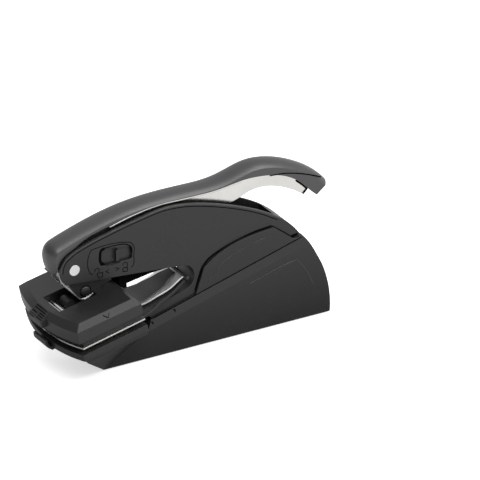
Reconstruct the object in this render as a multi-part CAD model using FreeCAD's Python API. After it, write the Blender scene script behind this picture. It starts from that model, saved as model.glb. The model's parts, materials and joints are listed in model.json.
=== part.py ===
import FreeCAD, Part
import math
import os

# Seal embosser: a slim lever press that closes a sliding die clip over a sheet of paper.
# Millimetres. +X runs from the mouth to the back, +Z is up, the near side is -Y.
# The origin is the middle of the flat underside that the press stands on.

# Body and base
base_length = 129.6
base_half = 10.5
shoulder_half = 9.2
shoulder_drop = 5.0
base_lift = 0.8
pin_height = 58.5
pin_to_base = 14.8
pad_thickness = 1.5
bottom_sheet = 1.6
wall_clearance = 0.1
skirt_depth = 8.0

# Cheeks of the moulded housing
cheek_half = 8.4
cheek_wall = 1.4
nose_radius = 8.3
rim_wall = 2.2
slot_end = 114.0
cheek_edge = 0.5
split_gap = 0.1
panel_proud = 1.3

# Throat that the clip slides into
throat_top_front = 8.6
throat_end_x = 60.6
throat_end_drop = 19.4
throat_radius = 7.0
throat_floor_pitch = 16.4
throat_roof_pitch = -4.6
throat_lining = 1.8
lining_start = 29.0
jaw_front_x = 39.2

# Steel press frame inside the housing
frame_outer = 3.6
frame_sheet = 1.5
frame_clearance = 0.3
frame_nose_radius = 7.1
dowel_radius = 2.5
boss_wall = 1.4
stop_height = 2.6
stop_length = 7.0
stop_x = 81.0

# Lever: bent steel channel under a moulded cover
lever_length = 147.0
channel_half = 5.0
channel_sheet = 1.2
cover_half = 6.6
cover_wall = 2.6
dome_half = 7.8
dome_rise = 5.5
cover_clearance = 0.1
toe_x = 22.6
toe_drop = 11.1
sole_x = 15.3
sole_drop = 10.7
foot_rivet_x = 8.0
foot_rivet_drop = 11.9
foot_rivet_radius = 1.6
foot_rivet_head_radius = 2.1
rivet_dome = 0.8
foot_plate_sheet = 0.9
foot_plate_inset = 0.6
foot_plate_top = 4.2
foot_plate_radius = 5.6
cover_rivet_radius = 1.5
cover_rivet_head_radius = 2.6
cover_rivet_head = 0.8

# Pivot and return spring
pin_radius = 2.4
pin_head_radius = 2.85
pin_head = 0.7
running_fit = 0.05
spring_sheet = 0.6
spring_half = 3.0
spring_tip_x = 18.0
spring_bend_x = 44.0
spring_heel_x = 56.0
spring_tab = 5.0

# Clip: lower holder slides in, upper holder swings on the clip pin
clip_pitch = 12.7
jaw_pitch = 11.6
jaw_close = 1.6
holder_half = 30.0
holder_length = 36.8
front_bow = 5.4
lower_front_x = -7.1
lower_front_drop = 35.7
lower_thickness = 3.6
upper_front_x = -10.6
upper_front_drop = 22.5
upper_skirt = 7.4
upper_chamfer_rise = 2.7
upper_chamfer_inset = 3.4
leaf_lift = 2.4
leaf_sheet = 0.8
carrier_lift = 7.1
carrier_inset = 1.2
tongue_top_drop = 15.0
tongue_sheet = 1.8
tongue_root_half = 27.3
tongue_mid_half = 17.7
tongue_mid_x = 44.2
tongue_end_half = 5.2
tongue_end_x = 57.4
leaf_half = 14.7
leaf_end_half = 10.5
leaf_narrow_x = 50.0
clip_pin_x = 61.0
clip_pin_drop = 17.3
clip_pin_radius = 0.9
eye_wall = 0.8
lug_width = 2.6
lug_wall = 1.5
lower_tongue_half = 17.5
lower_tongue_lift = 0.9
lower_tongue_sheet = 1.8
die_half = 25.4
die_length = 25.4
die_front = 2.6
lower_die_proud = 0.1
lower_die_sheet = 1.4
die_closed_gap = 0.2
pocket_clearance = 0.15
window_front = 2.9
window_length = 11.0
window_half = 7.2
window_depth = 5.6
tab_half = 6.5
tab_reach = 6.8
tab_thickness = 4.6
tab_rib_width = 0.8
tab_rib_height = 0.5
tab_rib_pitch = 1.6
scoop_sheet = 1.8
leaf_rivet_radius = 1.2
leaf_rivet_head = 0.5
leaf_rivet_spread = 3.2
catch_block_half = 3.4
catch_block_length = 5.2
catch_block_height = 4.0
catch_strip_sheet = 0.6
catch_pin_radius = 0.9

# Tray and flare under the clip
slide_clearance = 0.3
tray_half = 28.4
tray_sheet = 2.4
tray_setback = 2.0
flare_wall = 2.0

# Lock in the near cheek
lock_left = 14.2
lock_right = 32.5
lock_top_left = 8.1
lock_top_right = 5.4
lock_low = 1.6
lock_corner = 1.8
lock_travel = 6.0
lock_lap = 1.2
lock_sheet = 1.5
lock_fit = 0.15
lock_ridge_x = 24.0
lock_ridge_width = 1.6
lock_ridge_proud = 0.5
lock_rail = 1.0

# Fixings
screw_radius = 1.2
screw_head_radius = 2.4
screw_head = 1.4
screw_boss = 3.2
screw_grip = 5.0

# Common small values
fit_gap = 0.3
overrun = 1.0

pin_x = -base_length / 2 - pin_to_base
cheek_inner = cheek_half - cheek_wall
base_wall = base_half - cheek_half - wall_clearance
frame_inner = frame_outer - frame_sheet
channel_inner = channel_half - channel_sheet

V = FreeCAD.Vector
along_y = V(0, 1, 0)

# Side outlines, each point a share of the lever's length and of the pivot's height
core_top_shares = [
    (-0.0197, -0.1385), (-0.0435, -0.0889), (-0.0537, -0.0171), (-0.0517, 0.0376),
    (-0.0395, 0.1009), (-0.0102, 0.1556), (0.0605, 0.2222), (0.1306, 0.2684),
    (0.2395, 0.3282), (0.3497, 0.3692), (0.4204, 0.3590), (0.5068, 0.3111),
    (0.5803, 0.2547), (0.6401, 0.2000), (0.7143, 0.1179), (0.7946, 0.0000),
    (0.8408, -0.0991), (0.8694, -0.1897)]
base_rear_shares = [
    (0.8803, -0.2120), (0.9014, -0.2838), (0.9299, -0.4103), (0.9510, -0.5179),
    (0.9667, -0.6291), (0.9782, -0.7556), (0.9823, -0.9863)]
panel_shares = [
    (0.4605, -0.4957), (0.4925, -0.2786), (0.5170, -0.2154), (0.5544, -0.1726),
    (0.6286, -0.1128), (0.6844, -0.0821), (0.7633, -0.0632), (0.8381, -0.2120),
    (0.8612, -0.2120)]
cover_top_shares = [
    (-0.0605, -0.0581), (-0.0728, -0.0051), (-0.0816, 0.0769), (-0.0796, 0.1573),
    (-0.0653, 0.2137), (-0.0367, 0.2513), (0.0395, 0.3162), (0.1177, 0.3726),
    (0.2109, 0.4205), (0.2905, 0.4427), (0.3639, 0.4496), (0.4490, 0.4479),
    (0.5306, 0.4479), (0.5864, 0.4650), (0.6422, 0.5026), (0.6980, 0.5333),
    (0.7721, 0.5214), (0.8469, 0.4632), (0.9150, 0.3761), (0.9592, 0.2957),
    (0.9932, 0.2103)]
cover_low_shares = [
    (-0.0537, -0.0547), (-0.0571, -0.0103), (-0.0551, 0.0342), (-0.0469, 0.0872),
    (-0.0272, 0.1385), (0.0027, 0.1761), (0.0347, 0.2274), (0.1129, 0.2957),
    (0.2299, 0.3607), (0.3415, 0.3966), (0.4129, 0.3949), (0.4857, 0.3915),
    (0.5422, 0.3932), (0.5973, 0.4068), (0.6531, 0.4256), (0.7088, 0.4256),
    (0.7837, 0.3966), (0.8395, 0.3419), (0.8735, 0.2838), (0.9109, 0.1915),
    (0.9442, 0.1128)]
channel_low_shares = [
    (0.1803, -0.0513), (0.2245, 0.0581), (0.2857, 0.1060), (0.4082, 0.1607),
    (0.5306, 0.1949), (0.5986, 0.2222), (0.6456, 0.2547), (0.6830, 0.2906),
    (0.7129, 0.3043), (0.7497, 0.3026), (0.7878, 0.2803), (0.8435, 0.2222),
    (0.8925, 0.1436)]
channel_front_shares = [
    (-0.0490, 0.0410), (-0.0449, -0.0581), (-0.0177, -0.1504), (0.0136, -0.2051),
    (0.0388, -0.2393)]
frame_top_shares = [
    (0.0000, 0.1214), (0.2041, 0.1470), (0.4218, 0.1573), (0.5714, 0.1402),
    (0.6259, 0.0513)]
frame_low_shares = [
    (0.6259, -0.8034), (0.4082, -0.8462), (0.1633, -0.8376), (0.0612, -0.7778),
    (0.0306, -0.6667)]
flare_foot_shares = [
    (0.1007, -0.9863), (0.2762, -0.7128)]
shoulder_shares = [
    (0.2891, -0.6325), (0.8776, -0.2171)]
scoop_outer_shares = [
    (-0.1279, -0.5675), (-0.1116, -0.6667), (-0.0714, -0.7333)]
dowel_shares = [(0.296, -0.108), (0.524, -0.137), (0.537, -0.513)]
screw_shares = [(0.68, -0.274), (0.748, -0.359)]
cover_rivet_shares = [0.37, 0.71]
base_screw_shares = [0.21, 0.9]


def at(x, z, y=0.0):
    """Point given from the pivot axis: x back, z up."""
    return V(pin_x + x, y, pin_height + z)


def mapped(shares):
    return [at(xs * lever_length, zs * pin_height) for xs, zs in shares]


def spline(points):
    curve = Part.BSplineCurve()
    curve.interpolate(points)
    return curve.toShape()


def lines(points):
    return [Part.makeLine(a, b) for a, b in zip(points, points[1:])]


def arc(a, b, c):
    return Part.Arc(a, b, c).toShape()


def face(edges):
    return Part.Face(Part.Wire(Part.__sortEdges__(edges)))


def slab(flat_face, y_low, y_high):
    """Extrude an XZ face drawn at y = 0 between two y values."""
    return flat_face.translated(V(0, y_low, 0)).extrude(V(0, y_high - y_low, 0))


def poly_face(points):
    return face(lines(points + points[:1]))


def rod(centre, radius, y_low, y_high):
    return Part.makeCylinder(radius, y_high - y_low, V(centre.x, y_low, centre.z), along_y)


def domed_rod(centre, radius, head_radius, dome, y_low, y_high):
    """Cross rivet with a low domed head beyond each end."""
    shank = rod(centre, radius, y_low, y_high)
    ball_radius = (head_radius ** 2 + dome ** 2) / (2 * dome)
    heads = []
    for side, y_face in ((-1, y_low), (1, y_high)):
        ball = Part.makeSphere(ball_radius, V(centre.x, y_face + side * (dome - ball_radius), centre.z))
        keep = rod(centre, head_radius + overrun, min(y_face, y_face + side * 2 * dome),
                   max(y_face, y_face + side * 2 * dome))
        heads.append(ball.common(keep))
    return shank.fuse(heads).removeSplitter()


def mirrored(shape):
    return shape.mirror(V(0, 0, 0), along_y)


def joined(first, *others):
    return first.fuse(list(others)).removeSplitter()


def shifted_curve(points, distance):
    """The same run of points moved sideways, to the right of its direction in the XZ plane."""
    moved = []
    last = len(points) - 1
    for i, point in enumerate(points):
        run = points[min(i + 1, last)] - points[max(i - 1, 0)]
        side = V(run.z, 0, -run.x).normalize()
        moved.append(point + side * distance)
    return moved


def save(name, shape):
    solids = shape.Solids
    shape = solids[0] if len(solids) == 1 else Part.makeCompound(solids)
    shape.exportStep(os.path.join("parts", name + ".step"))
    print("%-20s solids %d valid %s volume %.1f" % (name, len(solids), shape.isValid(), shape.Volume))


class Pitched:
    """A frame tilted about Y: u back and up the slope, w square to it."""

    def __init__(self, x, z, pitch):
        self.origin = at(x, z)
        angle = math.radians(pitch)
        self.u = V(math.cos(angle), 0, math.sin(angle))
        self.w = V(-math.sin(angle), 0, math.cos(angle))

    def point(self, u, w, y=0.0):
        return self.origin + self.u * u + self.w * w + V(0, y, 0)

    def share_of(self, point):
        """The u and w of a point."""
        offset = point - self.origin
        return offset.dot(self.u), offset.dot(self.w)

    def box(self, u_low, u_high, half, w_low, w_high):
        corners = [(u_low, -half), (u_high, -half), (u_high, half), (u_low, half)]
        return poly_face([self.point(u, w_low, y) for u, y in corners]).extrude(self.w * (w_high - w_low))

    def bowed_wire(self, half, u_front, u_rear, bow, w):
        """Plan outline: straight sides and rear, and a front that bows forward."""
        near_front = self.point(u_front, w, -half)
        far_front = self.point(u_front, w, half)
        edges = [arc(far_front, self.point(u_front - bow, w), near_front)]
        edges += lines([near_front, self.point(u_rear, w, -half), self.point(u_rear, w, half), far_front])
        return Part.Wire(edges)

    def bowed(self, half, u_front, u_rear, bow, w_low, w_high):
        outline = Part.Face(self.bowed_wire(half, u_front, u_rear, bow, w_low))
        return outline.extrude(self.w * (w_high - w_low))

    def prism(self, corners, y_low, y_high):
        """Side outline given in (u, w), extruded across."""
        return slab(poly_face([self.point(u, w) for u, w in corners]), y_low, y_high)


lower = Pitched(lower_front_x, -lower_front_drop, clip_pitch)
upper = Pitched(upper_front_x, -upper_front_drop, jaw_pitch)
shoulder_run = mapped(shoulder_shares)
shoulder_pitch = math.degrees(math.atan2(shoulder_run[1].z - shoulder_run[0].z,
                                         shoulder_run[1].x - shoulder_run[0].x))
shoulder = Pitched(shoulder_run[0].x - pin_x, shoulder_run[0].z - pin_height, shoulder_pitch)
base_bottom = base_lift - pin_height


def throat_face(grow):
    """Throat outline, open towards the mouth, grown all round by a wall."""
    centre = at(throat_end_x, -throat_end_drop)
    radius = throat_radius + grow
    roof = Pitched(throat_end_x, -throat_end_drop, throat_roof_pitch)
    floor = Pitched(throat_end_x, -throat_end_drop, throat_floor_pitch)
    reach = throat_end_x + nose_radius * 4
    roof_end = roof.point(0, radius)
    floor_end = floor.point(0, -radius)
    roof_mouth = roof.point(-reach, radius)
    floor_mouth = floor.point(-reach, -radius)
    return face([arc(roof_end, centre + roof.u * radius, floor_end)]
                + lines([floor_end, floor_mouth, roof_mouth, roof_end]))


def core_outline():
    """Whole side of the housing before the throat is cut: nose, dome top, tail and skirt."""
    top = mapped(core_top_shares)
    tail = top[-1]
    tail_u = shoulder.share_of(tail)[0] - base_wall
    foot_x = mapped(flare_foot_shares)[1].x + base_wall + fit_gap
    front_u = shoulder.share_of(V(foot_x, 0, shoulder.origin.z))[0]
    jaw_top = at(jaw_front_x, -throat_end_drop)
    jaw_tip = V(jaw_top.x, 0, shoulder.point(0, throat_lining * 2).z)
    nose_back = V(jaw_top.x, 0, top[0].z - nose_radius)
    return face([spline(top)]
                + lines([tail, shoulder.point(tail_u, fit_gap), shoulder.point(tail_u, -skirt_depth),
                         shoulder.point(front_u, -skirt_depth), shoulder.point(front_u, fit_gap),
                         jaw_tip, jaw_top, nose_back, V(top[0].x, 0, nose_back.z), top[0]]))


def make_cheek():
    """Far cheek: outer plate, throat lining to the split line, closed dome behind the slot."""
    outline = core_outline()
    throat = throat_face(0.0)
    plate = slab(outline.cut(throat), cheek_inner, cheek_half)
    lining_band = outline.common(throat_face(throat_lining)).cut(throat)
    lining = slab(lining_band, split_gap / 2, cheek_inner)
    front = Part.makeBox(lining_start + nose_radius * 3, cheek_half * 3, pin_height * 3,
                         V(pin_x - nose_radius * 3, -cheek_half, -pin_height))
    floor_front = Part.makeBox(lining_start + nose_radius * 3, cheek_half * 3,
                               pin_height - throat_end_drop,
                               V(pin_x - nose_radius * 3, -cheek_half, 0))
    lining = lining.cut(front.cut(floor_front))
    top = mapped(core_top_shares)
    under = shifted_curve(top, rim_wall)
    dome = outline.cut(face([spline(under)] + lines([under[-1], V(under[-1].x, 0, 0), V(under[0].x, 0, 0),
                                                     under[0]])))
    dome_box = Part.makeBox(base_length, cheek_half, pin_height * 2,
                            V(pin_x + slot_end, 0, shoulder.point(0, 0).z))
    dome = slab(dome, split_gap / 2, cheek_inner).common(dome_box)
    cheek = joined(plate, lining, dome)
    bosses = []
    for centre in mapped(dowel_shares):
        ring = rod(centre, dowel_radius + boss_wall, frame_outer + frame_clearance, cheek_inner)
        bosses.append(ring)
    for centre in mapped(screw_shares):
        bosses.append(rod(centre, screw_boss, split_gap / 2, cheek_inner))
    cheek = joined(cheek, *bosses)
    for centre in mapped(dowel_shares):
        cheek = cheek.cut(rod(centre, dowel_radius + running_fit, 0, cheek_inner))
    cheek = cheek.cut(rod(at(0, 0), pin_radius + running_fit, 0, cheek_half + overrun))
    cheek = cheek.cut(rod(at(0, 0), pin_head_radius + running_fit, cheek_half - pin_head / 2,
                          cheek_half + overrun))
    return cheek


def lock_window(gap):
    """Window of the lock with rounded corners, as a face grown by a gap."""
    left = lock_left - gap
    right = lock_right + gap
    top_left = lock_top_left + gap
    top_right = lock_top_right + gap
    low = -lock_low - gap
    shape = poly_face([at(left, low), at(right, low), at(right, top_right), at(left, top_left)])
    return shape


def make_near_cheek(cheek):
    near = mirrored(cheek)
    window = slab(lock_window(0.0), -cheek_half - overrun, -cheek_inner + overrun)
    corners = [edge for edge in window.Edges if abs(edge.Vertexes[0].Point.y - edge.Vertexes[-1].Point.y)
               > cheek_wall]
    window = window.makeFillet(lock_corner, corners)
    near = near.cut(window)
    rails = []
    left = lock_left - lock_lap - lock_travel
    right = lock_right + lock_lap + lock_travel
    for high in (True, False):
        top_left = lock_top_left + lock_lap + lock_fit
        low = -lock_low - lock_lap - lock_fit - lock_rail
        z = top_left if high else low
        corners = [at(left, z), at(right, z), at(right, z + lock_rail), at(left, z + lock_rail)]
        rails.append(slab(poly_face(corners), -cheek_inner, -cheek_inner + lock_sheet))
    near = joined(near, *rails)
    for centre in mapped(screw_shares):
        near = near.cut(rod(centre, screw_radius, -cheek_inner, 0))
    return near


def make_far_cheek(cheek):
    for centre in mapped(screw_shares):
        cheek = cheek.cut(rod(centre, screw_radius + running_fit, 0, cheek_half + overrun))
        cheek = cheek.cut(rod(centre, screw_head_radius + running_fit, cheek_half - screw_head,
                              cheek_half + overrun))
    return cheek


def make_cheek_screws():
    screws = []
    for centre in mapped(screw_shares):
        screws.append(joined(rod(centre, screw_radius, -cheek_inner + overrun, cheek_half - screw_head),
                             rod(centre, screw_head_radius, cheek_half - screw_head, cheek_half - running_fit)))
    return Part.makeCompound(screws)


def make_panel():
    """Near cover panel over the rear of the cheek, resting on the shoulder of the base."""
    points = mapped(panel_shares)
    foot_front = shoulder.point(shoulder.share_of(points[0])[0], fit_gap)
    foot_rear = shoulder.point(shoulder.share_of(points[-1])[0], fit_gap)
    top = [points[1], points[3], points[5], points[6]]
    edges = lines([foot_front, points[1]]) + [spline(top)]
    edges += lines([points[6], points[7], foot_rear, foot_front])
    return slab(face(edges), -cheek_half - panel_proud, -cheek_half)


def make_base_shell():
    """Slab-sided base with a bevelled shoulder, flaring out at the front to carry the tray."""
    foot = mapped(flare_foot_shares)
    rear = mapped(base_rear_shares)
    side = face([spline(rear)] + lines([rear[-1], V(foot[0].x, 0, rear[-1].z), foot[1],
                                        shoulder.point(0, 0), rear[0]]))
    body = slab(side, -base_half, base_half)
    wedge_points = [(-base_half - overrun, overrun), (-shoulder_half, overrun), (-shoulder_half, 0),
                    (-base_half, -shoulder_drop), (-base_half - overrun, -shoulder_drop)]
    wedge = poly_face([shoulder.point(-base_length, w, y) for y, w in wedge_points])
    wedge = wedge.extrude(shoulder.u * base_length * 3)
    body = body.cut([wedge, mirrored(wedge)])
    tray_w = -lower_thickness - slide_clearance
    under_w = tray_w - tray_sheet
    tray = lower.box(tray_setback, holder_length, tray_half, under_w, tray_w)
    outer = flare(foot, base_half, tray_setback, holder_length, tray_half, under_w, 0.0)
    body = joined(body, outer, tray)
    inner_half = base_half - base_wall
    rear_in = shifted_curve(rear, base_wall)
    cavity = face([spline(rear_in)] + lines([rear_in[-1], V(rear_in[-1].x, 0, 0),
                                             V(foot[0].x + base_wall, 0, 0),
                                             V(foot[0].x + base_wall, 0, rear[-1].z + base_wall),
                                             foot[1] + V(base_wall, 0, base_wall),
                                             shoulder.point(-overrun, overrun),
                                             shoulder.point(shoulder.share_of(rear_in[0])[0], overrun * 2),
                                             rear_in[0]]))
    body = body.cut(slab(cavity, -inner_half, inner_half))
    hollow = flare(foot, base_half - base_wall, tray_setback + flare_wall, holder_length - flare_wall,
                   tray_half - flare_wall, under_w, base_wall)
    body = body.cut(hollow)
    arm_slot = lower.box(holder_length - skirt_depth, holder_length * 2, frame_outer + frame_clearance,
                         -holder_length, under_w)
    front_part = Part.makeBox(base_length, base_half * 2, pin_height,
                              V(foot[1].x + base_wall, -base_half, 0))
    body = body.cut(arm_slot.cut(front_part))
    bosses = []
    for share in base_screw_shares:
        centre = V(pin_x + share * lever_length, 0, pad_thickness + bottom_sheet)
        column = Part.makeCylinder(screw_boss, screw_grip, centre)
        rib = Part.makeBox(base_wall, inner_half * 2, screw_grip, centre - V(base_wall / 2, inner_half, 0))
        hole = Part.makeCylinder(screw_radius, screw_grip, centre)
        bosses.append(joined(column, rib).cut(hole))
    return joined(body, *bosses)


def flare(foot, half, u_front, u_rear, top_half, w, inset):
    """Ruled hull between the sloping front of the base and the underside of the tray."""
    run = foot[1] - foot[0]
    step = run.normalize() * inset
    low = [foot[0] + step, foot[1] - step]
    low_wire = Part.makePolygon([low[0] + V(0, -half, 0), low[1] + V(0, -half, 0), low[1] + V(0, half, 0),
                                 low[0] + V(0, half, 0), low[0] + V(0, -half, 0)])
    top_wire = Part.makePolygon([lower.point(u_front, w, -top_half), lower.point(u_rear, w, -top_half),
                                 lower.point(u_rear, w, top_half), lower.point(u_front, w, top_half),
                                 lower.point(u_front, w, -top_half)])
    return Part.makeLoft([low_wire, top_wire], True, True)


def bottom_face(gap):
    foot = mapped(flare_foot_shares)
    rear = mapped(base_rear_shares)
    low_x = foot[0].x + base_wall + gap
    high_x = rear[-1].x - base_wall - gap
    half = base_half - base_wall - gap
    return low_x, high_x, half


def make_bottom_plate():
    low_x, high_x, half = bottom_face(wall_clearance)
    plate = Part.makeBox(high_x - low_x, half * 2, bottom_sheet, V(low_x, -half, pad_thickness))
    for share in base_screw_shares:
        centre = V(pin_x + share * lever_length, 0, 0)
        plate = plate.cut(Part.makeCylinder(screw_radius + running_fit, pin_height, centre))
    return plate


def make_base_pad():
    low_x, high_x, half = bottom_face(wall_clearance)
    pad = Part.makeBox(high_x - low_x, half * 2, pad_thickness, V(low_x, -half, 0))
    for share in base_screw_shares:
        centre = V(pin_x + share * lever_length, 0, -overrun)
        pad = pad.cut(Part.makeCylinder(screw_head_radius + fit_gap, pin_height, centre))
    return pad


def make_base_screws():
    screws = []
    for share in base_screw_shares:
        centre = V(pin_x + share * lever_length, 0, pad_thickness)
        shank = Part.makeCylinder(screw_radius, screw_grip, centre)
        head = Part.makeCylinder(screw_head_radius, pad_thickness - fit_gap, centre - V(0, 0, pad_thickness - fit_gap))
        screws.append(joined(shank, head))
    return Part.makeCompound(screws)


def make_press_frame():
    """Two steel side plates: an arm over the throat, a column behind it and an arm under the tray."""
    top = mapped(frame_top_shares)
    low = mapped(frame_low_shares)
    nose = at(0, 0)
    ring = arc(V(nose.x, 0, nose.z + frame_nose_radius), V(nose.x - frame_nose_radius, 0, nose.z),
               V(nose.x, 0, nose.z - frame_nose_radius))
    start = V(nose.x, 0, nose.z + frame_nose_radius)
    end = V(nose.x, 0, nose.z - frame_nose_radius)
    front_low = V(low[-1].x, 0, low[-1].z)
    side = face([ring] + lines([start] + top[1:] + low[:-1] + [front_low, end]))
    side = side.cut(throat_face(throat_lining + frame_clearance))
    plate = slab(side, frame_inner, frame_outer)
    tray_under = -lower_thickness - slide_clearance - tray_sheet
    reach = lower.share_of(at(jaw_front_x, 0))[0]
    plate = plate.cut(lower.box(-nose_radius * 3, reach, frame_outer * 2, tray_under,
                                tray_under + nose_radius * 2))
    for centre in mapped(dowel_shares):
        plate = plate.cut(rod(centre, dowel_radius + running_fit, 0, frame_outer * 2))
    plate = plate.cut(rod(at(0, 0), pin_radius + running_fit, 0, frame_outer * 2))
    return Part.makeCompound([plate, mirrored(plate)])


def make_dowels():
    rods = [rod(centre, dowel_radius, -cheek_inner + wall_clearance, cheek_inner - wall_clearance)
            for centre in mapped(dowel_shares)]
    return Part.makeCompound(rods)


def make_press_stop():
    """Rubber block on top of the frame that the lever's web meets at the end of its travel."""
    centre = at(stop_x, 0)
    top = mapped(frame_top_shares)
    left = centre.x - stop_length / 2
    right = centre.x + stop_length / 2
    slope = (top[3].z - top[2].z) / (top[3].x - top[2].x)
    base_left = top[2].z + (left - top[2].x) * slope
    base_right = top[2].z + (right - top[2].x) * slope
    block = poly_face([V(left, 0, base_left), V(right, 0, base_right), V(right, 0, base_right + stop_height),
                       V(left, 0, base_left + stop_height)])
    return slab(block, -frame_outer, frame_outer)


def make_pivot_pin():
    shank = rod(at(0, 0), pin_radius, -cheek_half + pin_head / 2, cheek_half - pin_head / 2)
    heads = [rod(at(0, 0), pin_head_radius, cheek_half - pin_head / 2, cheek_half + pin_head / 2),
             rod(at(0, 0), pin_head_radius, -cheek_half - pin_head / 2, -cheek_half + pin_head / 2)]
    return joined(shank, *heads)


def channel_top():
    return shifted_curve(mapped(cover_top_shares)[2:-1], cover_wall)


def channel_end_x():
    return mapped(channel_low_shares)[-1].x + channel_sheet * 2


def make_lever_channel():
    """Steel channel: web on top, two flanges whose front ends turn down into the pressing foot."""
    top = channel_top()
    web_under = shifted_curve(top, channel_sheet)
    front = mapped(channel_front_shares)
    low = mapped(channel_low_shares)
    toe = at(toe_x, -toe_drop)
    sole = at(sole_x, -sole_drop)
    high = pin_height * 2
    under_cover = face([spline(top)] + lines([top[-1], V(top[-1].x, 0, 0), V(top[0].x, 0, 0), top[0]]))
    side = face([spline(front), spline(low)] + lines([front[-1], sole, toe, low[0]])
                + lines([low[-1], V(channel_end_x(), 0, low[-1].z + channel_sheet),
                         V(channel_end_x(), 0, high), V(front[0].x, 0, high), front[0]]))
    solid = slab(side.common(under_cover), -channel_half, channel_half)
    core = face([spline(web_under)] + lines([web_under[-1], web_under[-1] + V(nose_radius * 2, 0, 0),
                                             V(web_under[-1].x + nose_radius * 2, 0, 0),
                                             V(front[0].x - nose_radius * 2, 0, 0),
                                             V(front[0].x - nose_radius * 2, 0, web_under[0].z),
                                             web_under[0]]))
    solid = solid.cut(slab(core, -channel_inner, channel_inner))
    solid = solid.cut(rod(at(0, 0), pin_radius + running_fit, -cheek_half, cheek_half))
    solid = solid.cut(rod(at(foot_rivet_x, -foot_rivet_drop), foot_rivet_radius + running_fit,
                          -cheek_half, cheek_half))
    for place in cover_rivet_places():
        solid = solid.cut(Part.makeCylinder(cover_rivet_radius + running_fit, pin_height,
                                            V(place.x, 0, pin_height)))
    return solid


def cover_rivet_places():
    """Points on the underside of the web where the cover is riveted on."""
    under = spline(shifted_curve(channel_top(), channel_sheet))
    places = []
    for share in cover_rivet_shares:
        x = pin_x + share * lever_length
        probe = Part.makeLine(V(x, 0, pin_height), V(x, 0, pin_height * 2))
        places.append(under.distToShape(probe)[1][0][0])
    return places


def dome_cutter():
    """What lies outside the domed top on the near side, carried along the top curve."""
    crest = mapped(cover_top_shares)
    spine = Part.Wire([spline(crest)])
    run = spine.Edges[0]
    start = crest[0]
    along = run.tangentAt(run.FirstParameter)
    out = V(-along.z, 0, along.x)
    reach = cover_half + overrun
    middle_y = reach / 2

    def drop(y):
        return dome_rise * (1 - math.sqrt(1 - (y / dome_half) ** 2))

    def place(y, lift):
        return start + V(0, -y, 0) + out * lift

    section = [arc(place(0, 0), place(middle_y, -drop(middle_y)), place(reach, -drop(reach)))]
    section += lines([place(reach, -drop(reach)), place(reach, overrun), place(0, overrun), place(0, 0)])
    maker = Part.BRepOffsetAPI.MakePipeShell(spine)
    maker.setBiNormalMode(along_y)
    maker.add(Part.Wire(section))
    maker.build()
    maker.makeSolid()
    return maker.shape()


def make_lever_cover():
    """Moulded cover: a domed strip over the channel with a nose hook and a grip swell."""
    top = mapped(cover_top_shares)
    low = mapped(cover_low_shares)
    side = face([spline(top), spline(low)] + lines([low[0], top[0]]) + lines([low[-1], top[-1]]))
    solid = slab(side, -cover_half, cover_half)
    cutter = dome_cutter()
    solid = solid.cut(cutter).cut(mirrored(cutter))
    inner_top = shifted_curve(top[2:-1], cover_wall - cover_clearance)
    inside = face([spline(inner_top)] + lines([inner_top[-1], V(inner_top[-1].x, 0, 0),
                                               V(inner_top[0].x, 0, 0), inner_top[0]]))
    inside = slab(inside, -channel_half - cover_clearance, channel_half + cover_clearance)
    front_x = mapped(channel_front_shares)[0].x - fit_gap
    span = Part.makeBox(channel_end_x() + fit_gap - front_x, cover_half * 2, pin_height * 2,
                        V(front_x, -cover_half, 0))
    solid = solid.cut(inside.common(span))
    for place in cover_rivet_places():
        solid = solid.cut(Part.makeCylinder(cover_rivet_radius + running_fit, channel_sheet + cover_wall / 2
                                            + cover_clearance, V(place.x, 0, place.z)))
    return solid


def make_cover_rivets(channel):
    rivets = []
    for place in cover_rivet_places():
        shank = Part.makeCylinder(cover_rivet_radius, channel_sheet + cover_wall / 2, V(place.x, 0, place.z))
        head = Part.makeCylinder(cover_rivet_head_radius, cover_rivet_head,
                                 V(place.x, 0, place.z - cover_rivet_head - running_fit))
        neck = Part.makeCylinder(cover_rivet_radius, running_fit, V(place.x, 0, place.z - running_fit))
        rivets.append(joined(shank, neck, head).cut(channel))
    return Part.makeCompound(rivets)


def make_foot_rivet():
    reach = channel_half + foot_plate_sheet
    return domed_rod(at(foot_rivet_x, -foot_rivet_drop), foot_rivet_radius, foot_rivet_head_radius,
                     rivet_dome, -reach, reach)


def make_lever_spring():
    """Leaf spring: clipped on top of the press frame, its tip lifts the lever's web."""
    top = mapped(frame_top_shares)
    slope = (top[2].z - top[1].z) / (top[2].x - top[1].x)

    def on_frame(x):
        return V(pin_x + x, 0, top[1].z + (pin_x + x - top[1].x) * slope)

    web = spline(shifted_curve(channel_top(), channel_sheet + running_fit))
    tip_x = pin_x + spring_tip_x
    tip = web.distToShape(Part.makeLine(V(tip_x, 0, pin_height), V(tip_x, 0, pin_height * 2)))[1][0][0]
    heel = on_frame(spring_heel_x)
    bend = on_frame(spring_bend_x)
    thick = V(0, 0, spring_sheet)
    leaf = slab(poly_face([heel, bend, tip - thick, tip, bend + thick, heel + thick]), -spring_half, spring_half)
    tab_end = on_frame((spring_heel_x + spring_bend_x) / 2)
    tab = poly_face([heel, tab_end, tab_end - V(0, 0, spring_tab), heel - V(0, 0, spring_tab)])
    return joined(leaf, slab(tab, -frame_inner + running_fit, frame_inner - running_fit))


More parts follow.
